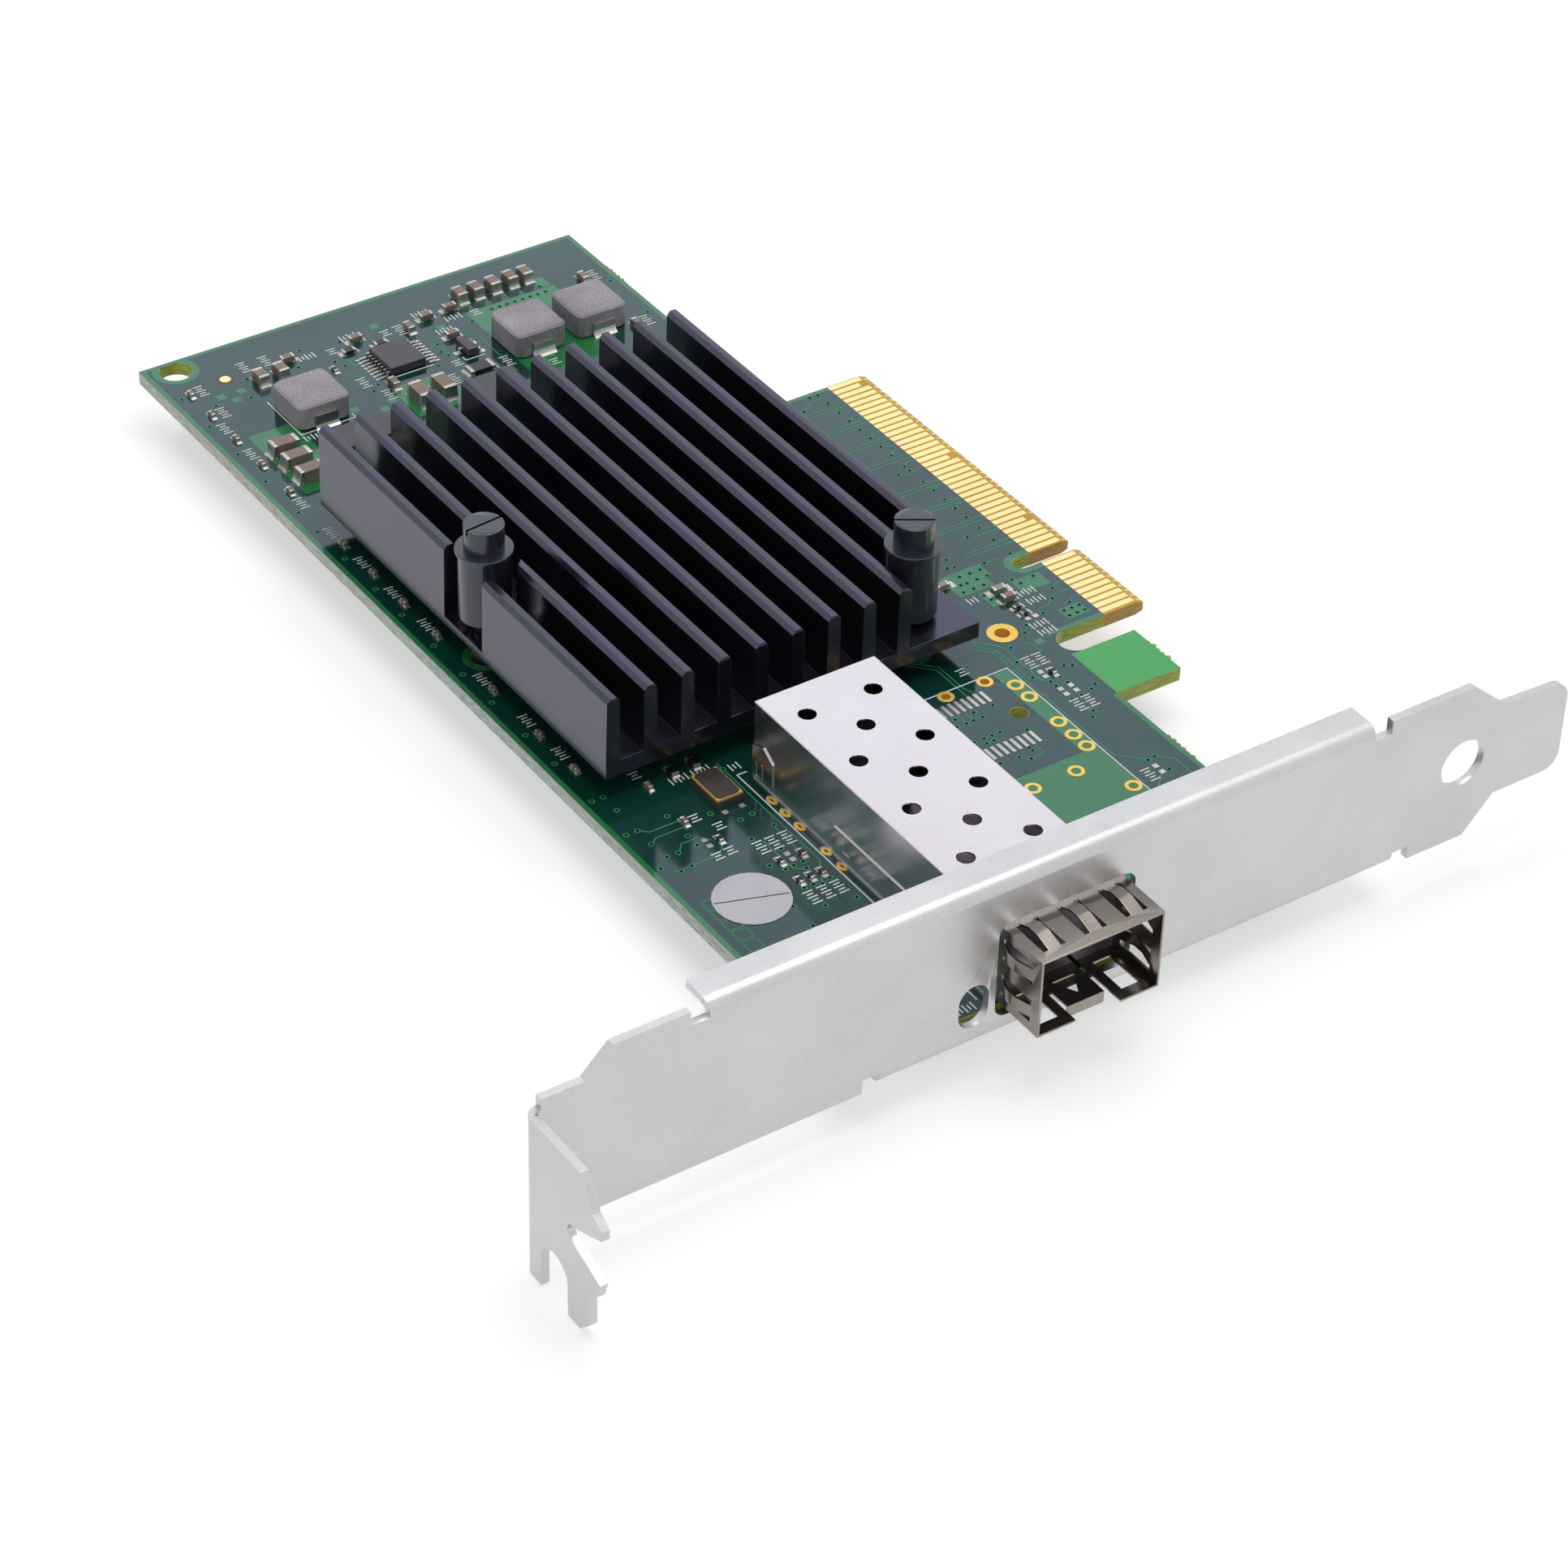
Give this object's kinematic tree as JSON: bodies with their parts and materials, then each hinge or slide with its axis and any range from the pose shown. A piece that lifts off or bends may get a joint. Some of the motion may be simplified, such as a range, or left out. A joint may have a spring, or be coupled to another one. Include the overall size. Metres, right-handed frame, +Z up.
{
  "type": "network interface card",
  "caption": "Low-profile expansion card with an edge connector, finned heat sink, small pluggable-module cage and a full-height slot bracket.",
  "frame": {"origin": "connector datum: centre of the key notch, on the contact edge, at half the board's thickness", "axes": "+Z up off the component side, +X out through the bracket, +Y out of the edge connector"},
  "size_m": [0.1523, 0.1201, 0.0229],
  "materials": {
    "bracket_zinc": "satin plated sheet steel",
    "nickel_plate": "nickel plated, satin",
    "capacitor_ceramic": "fired ceramic",
    "solder_tin": "tinned, satin",
    "cage_nickel": "nickel plated sheet, bright",
    "board_laminate": "green solder mask over glass laminate",
    "contact_gold": "gold plated",
    "chip_carrier": "laminate",
    "silicon": "polished",
    "crystal_base_ceramic": "fired ceramic",
    "crystal_lid_metal": "dark metal lid",
    "fuse_body": "ceramic",
    "black_anodised": "black anodised extrusion, satin",
    "inductor_powder": "pressed grey iron powder",
    "sticker_paper": "coated paper",
    "light_lens": "clear epoxy",
    "dark_moulding": "moulded epoxy",
    "connector_plastic": "moulded black",
    "pin_nylon": "moulded black nylon",
    "spring_steel": "drawn wire",
    "resistor_black": "glazed film on ceramic",
    "thermal_pad": "matt filled silicone"
  },
  "bodies": {
    "root": {"bracket": "bracket_zinc", "bracket_screws": "nickel_plate", "bulk_capacitor_bodies": "capacitor_ceramic", "bulk_capacitor_ends": "solder_tin", "cage_floor": "cage_nickel", "circuit_board": "board_laminate", "connector_contacts": "contact_gold", "controller_carrier": "chip_carrier", "controller_die": "silicon", "controller_lid": "nickel_plate", "controller_solder": "solder_tin", "crystal_base": "crystal_base_ceramic", "crystal_lid": "crystal_lid_metal", "crystal_rim": "contact_gold", "edge_contacts_bottom": "contact_gold", "edge_contacts_top": "contact_gold", "fiducial_mark": "contact_gold", "filter_capacitor_bodies": "capacitor_ceramic", "filter_capacitor_ends": "solder_tin", "fuse_bodies": "fuse_body", "fuse_ends": "solder_tin", "heat_sink": "black_anodised", "inductor_bodies": "inductor_powder", "inductor_terminals": "solder_tin", "inspection_sticker": "sticker_paper", "link_light_ends": "solder_tin", "link_light_lenses": "light_lens", "memory_chip_body": "dark_moulding", "memory_chip_leads": "solder_tin", "module_cage": "cage_nickel", "module_connector": "connector_plastic", "polymer_capacitor_bodies": "dark_moulding", "polymer_capacitor_leads": "solder_tin", "power_chip_body": "dark_moulding", "power_chip_leads": "solder_tin", "push_pin_cores": "pin_nylon", "push_pin_sleeves": "pin_nylon", "push_pin_springs": "spring_steel", "sense_resistor_bodies": "resistor_black", "sense_resistor_ends": "solder_tin", "small_capacitor_bodies": "capacitor_ceramic", "small_capacitor_ends": "solder_tin", "small_resistor_bodies": "resistor_black", "small_resistor_ends": "solder_tin", "solder_pads": "solder_tin", "thermal_pad": "thermal_pad", "tiny_capacitor_bodies": "capacitor_ceramic", "tiny_capacitor_ends": "solder_tin", "tiny_resistor_bodies": "resistor_black", "tiny_resistor_ends": "solder_tin", "transistor_body": "dark_moulding", "transistor_leads": "solder_tin", "under_capacitor_bodies": "capacitor_ceramic", "under_capacitor_ends": "solder_tin"}
  },
  "joints": []
}
